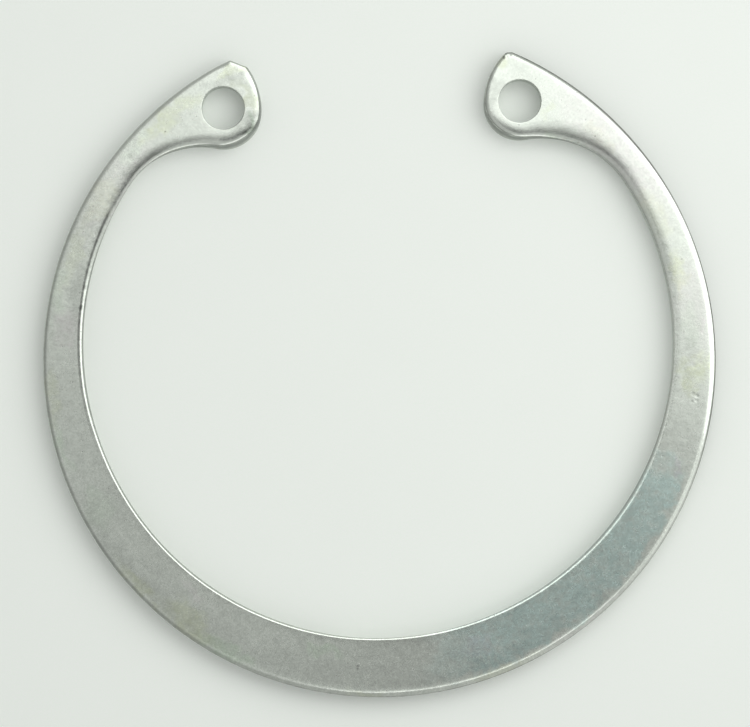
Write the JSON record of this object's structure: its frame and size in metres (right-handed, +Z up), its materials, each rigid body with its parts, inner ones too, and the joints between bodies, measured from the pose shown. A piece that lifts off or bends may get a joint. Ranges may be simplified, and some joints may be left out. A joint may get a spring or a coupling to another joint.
{
  "type": "internal retaining ring",
  "caption": "Flat C-shaped spring steel retaining ring for a bore groove, with tapering arms, crowned edges and lugs with plier holes at the gap.",
  "frame": {"origin": "centre of the outer circle, on the lower face that the ring lies on", "axes": "+Z up out of the face with the crowned edges, +Y from the origin to the middle of the gap, +X to the right seen from above"},
  "size_m": [0.0504, 0.0482, 0.0018],
  "materials": {
    "plated_steel": "satin plated spring steel, lightly mottled, with faint olive and bluish tints"
  },
  "bodies": {
    "root": {"retaining_ring": "plated_steel"}
  },
  "joints": []
}
